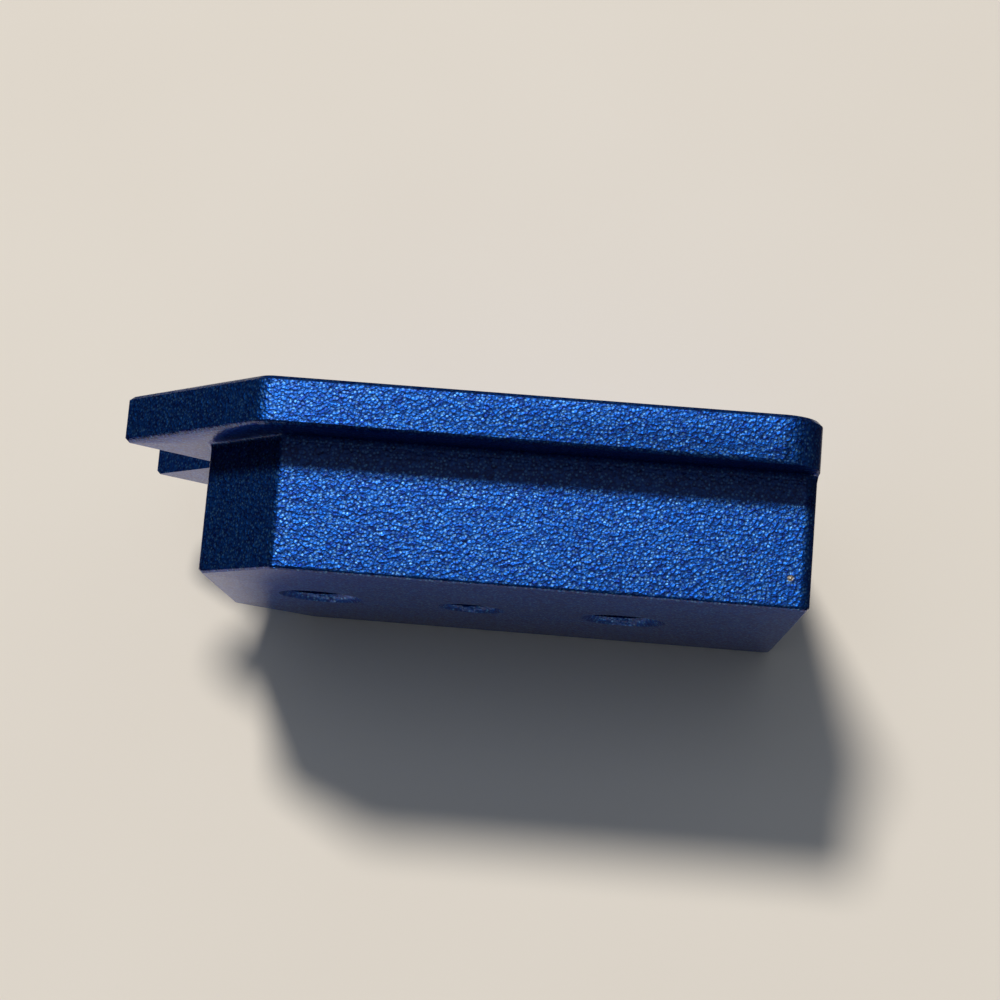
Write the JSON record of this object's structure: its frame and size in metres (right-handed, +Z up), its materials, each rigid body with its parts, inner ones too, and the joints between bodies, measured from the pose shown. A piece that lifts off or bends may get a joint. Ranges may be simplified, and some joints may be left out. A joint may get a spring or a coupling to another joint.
{
  "type": "machined aluminium block",
  "caption": "One-piece machined aluminium block: a swallow-tailed plate over a narrower block with tapped blind holes in a row, bead-blasted and anodised blue.",
  "frame": {"origin": "middle of the footprint on the ground, with the part lying on its back long side", "axes": "+X along the part from the swallow tail to the square end, +Y towards the plate's plain top, which leans back, and +Z up, out of the long side that faces up"},
  "size_m": [0.0438, 0.0206, 0.0309],
  "materials": {
    "anodised_aluminium": "bead-blasted and anodised blue, satin with a fine sparkle"
  },
  "bodies": {
    "root": {"machined_block": "anodised_aluminium"}
  },
  "joints": []
}
